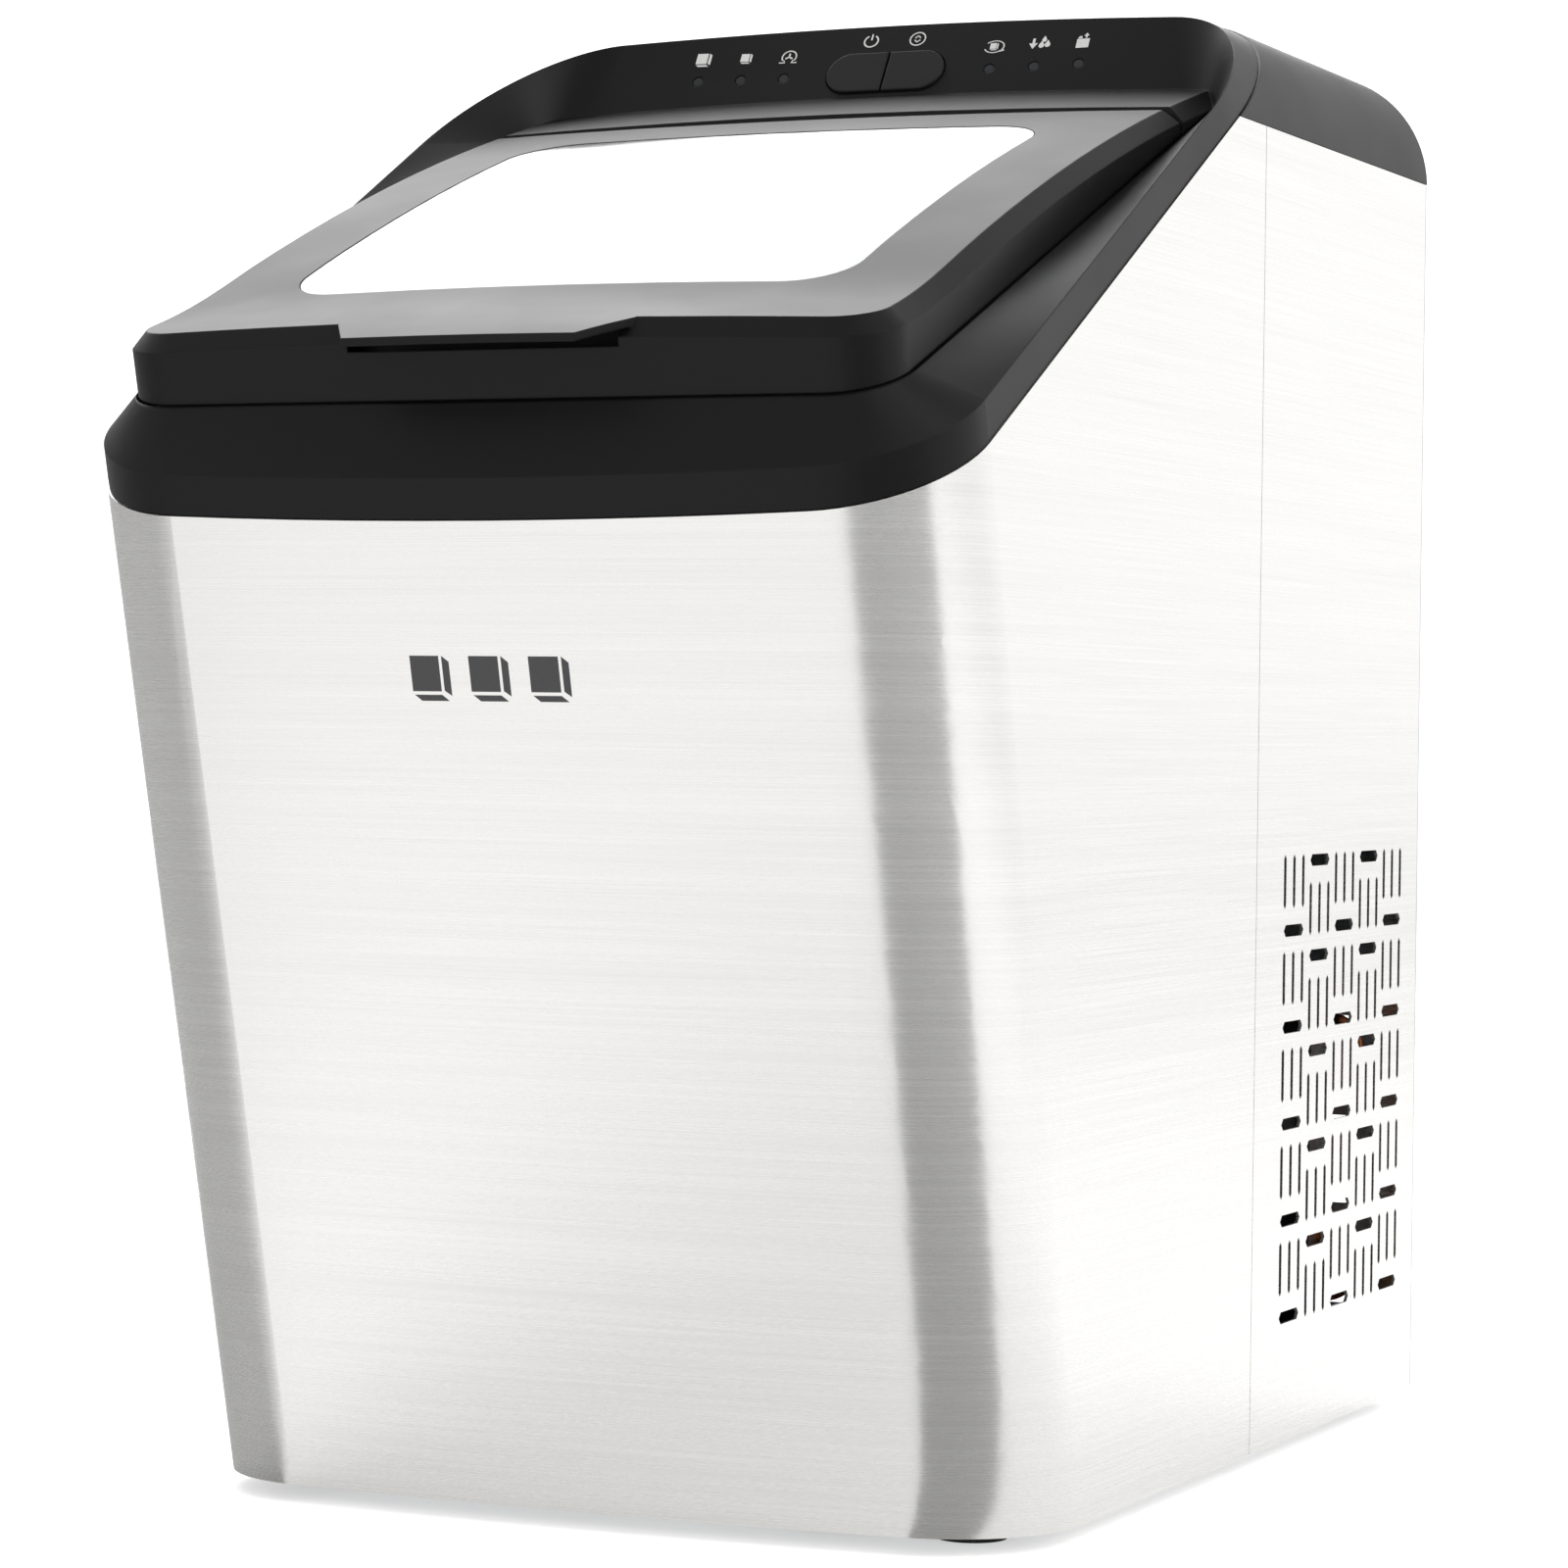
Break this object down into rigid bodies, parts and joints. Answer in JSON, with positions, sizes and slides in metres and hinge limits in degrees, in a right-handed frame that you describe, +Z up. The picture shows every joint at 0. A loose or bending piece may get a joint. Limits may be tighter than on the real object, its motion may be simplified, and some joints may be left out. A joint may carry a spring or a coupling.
{
  "type": "ice maker",
  "caption": "Free-standing countertop ice maker: steel cabinet with a sloping windowed lid, control panel with two keys, ice basket, tilting water tray and vented machine compartment behind.",
  "frame": {"origin": "bottom centre of the whole assembly's box, on the surface the feet stand on", "axes": "+Z up, -Y towards the front with the sloping lid, +X to the right of someone facing the front"},
  "size_m": [0.25, 0.4206, 0.4259],
  "materials": {
    "steel": "fine horizontal brushing",
    "galvanised": "galvanised sheet",
    "black_plastic": "fine satin texture",
    "dark_plastic": "matt moulding",
    "button_plastic": "satin",
    "rubber": "matt",
    "gasket": "soft seal",
    "zinc": "zinc plated",
    "pin_steel": "ground",
    "lens": "milky lens",
    "board": "circuit board",
    "window": "smoked clear plastic",
    "liner": "smooth moulded liner",
    "foam": "foamed in place",
    "basket": "frosted",
    "nickel": "nickel plated copper",
    "white_plastic": "white moulding",
    "hose": "silicone tube",
    "compressor_paint": "black enamel",
    "copper": "bare copper",
    "brass": "machined",
    "aluminium": "thin sheet",
    "dark_metal": "lacquered can"
  },
  "bodies": {
    "cabinet": {"front_wrap": "steel", "side_panel_right": "steel", "side_panel_left": "steel", "back_panel": "galvanised", "rear_cover": "black_plastic", "base_pan": "galvanised", "rubber_feet": "rubber", "foot_screws": "zinc", "back_screws": "zinc", "cover_screws": "zinc", "top_frame": "black_plastic", "led_lenses": "lens", "control_board": "board", "button_switches": "dark_plastic", "lid_hinge_pins": "pin_steel", "inner_liner": "liner", "foam_insulation": "foam", "tank_deck": "liner", "evaporator": "nickel", "evaporator_bracket": "white_plastic", "tray_motor": "dark_plastic", "ice_full_sensors": "dark_plastic", "float_guide": "white_plastic", "water_pump": "dark_plastic", "pump_hose": "hose", "drain_spout": "white_plastic", "bulkhead": "galvanised", "compressor": "compressor_paint", "compressor_grommets": "rubber", "compressor_bolts": "zinc", "terminal_cover": "dark_plastic", "condenser_tube": "copper", "condenser_fins": "aluminium", "fan_shroud": "dark_plastic", "fan_motor": "dark_metal", "filter_drier": "copper", "hot_gas_valve": "brass", "discharge_pipe": "copper", "hot_gas_inlet_pipe": "copper", "hot_gas_outlet_pipe": "copper", "suction_pipe": "copper", "capillary_tube": "copper", "liquid_pipe": "copper", "board_bracket": "galvanised", "power_board": "board", "cord_gland": "dark_plastic"},
    "lid": {"lid_frame": "black_plastic", "lid_window": "window", "lid_gasket": "gasket"},
    "power_key": {"power_button": "button_plastic"},
    "select_key": {"select_button": "button_plastic"},
    "basket": {"ice_basket": "basket"},
    "tray": {"water_tray": "white_plastic"},
    "pusher": {"ice_pusher": "white_plastic"},
    "fan": {"fan_blade": "dark_plastic"},
    "impeller": {"pump_impeller": "white_plastic"},
    "float": {"tank_float": "white_plastic"},
    "plug": {"drain_plug": "rubber"}
  },
  "joints": [
    {"name": "lid_hinge", "type": "hinge", "parent": "cabinet", "child": "lid", "pos_m": [0, 0.00775, 0.3805], "axis": [-1, 0, 0], "range_deg": [0, 105]},
    {"name": "power_button_press", "type": "slide", "parent": "cabinet", "child": "power_key", "axis": [0, 0.8453, -0.5344], "range_m": [0, 0.0009], "stiffness_N_per_m": 1500, "springref_m": -0.0003},
    {"name": "select_button_press", "type": "slide", "parent": "cabinet", "child": "select_key", "axis": [0, 0.8453, -0.5344], "range_m": [0, 0.0009], "stiffness_N_per_m": 1500, "springref_m": -0.0003},
    {"name": "basket_lift", "type": "slide", "parent": "cabinet", "child": "basket", "axis": [0, 0, 1], "range_m": [0, 0.03]},
    {"name": "tray_tilt", "type": "hinge", "parent": "cabinet", "child": "tray", "pos_m": [0, -0.00675, 0.29], "axis": [1, 0, 0], "range_deg": [0, 60]},
    {"name": "ice_push", "type": "slide", "parent": "cabinet", "child": "pusher", "axis": [0, -1, 0], "range_m": [0, 0.014]},
    {"name": "fan_spin", "type": "hinge", "parent": "cabinet", "child": "fan", "pos_m": [0.056, 0.14675, 0.083], "axis": [0, 1, 0], "continuous": true},
    {"name": "pump_spin", "type": "hinge", "parent": "cabinet", "child": "impeller", "pos_m": [0.058, -0.00775, 0.038], "axis": [0, 0, 1], "continuous": true},
    {"name": "float_travel", "type": "slide", "parent": "cabinet", "child": "float", "axis": [0, 0, 1], "range_m": [0, 0.024]},
    {"name": "drain_plug_turn", "type": "hinge", "parent": "cabinet", "child": "plug", "pos_m": [0.06, -0.09275, 0.005], "axis": [0, 0, 1], "range_deg": [0, 90]}
  ],
  "couplings": [
    {"joint": "ice_push", "follows": "tray_tilt", "m_per_rad": 0.013369}
  ]
}
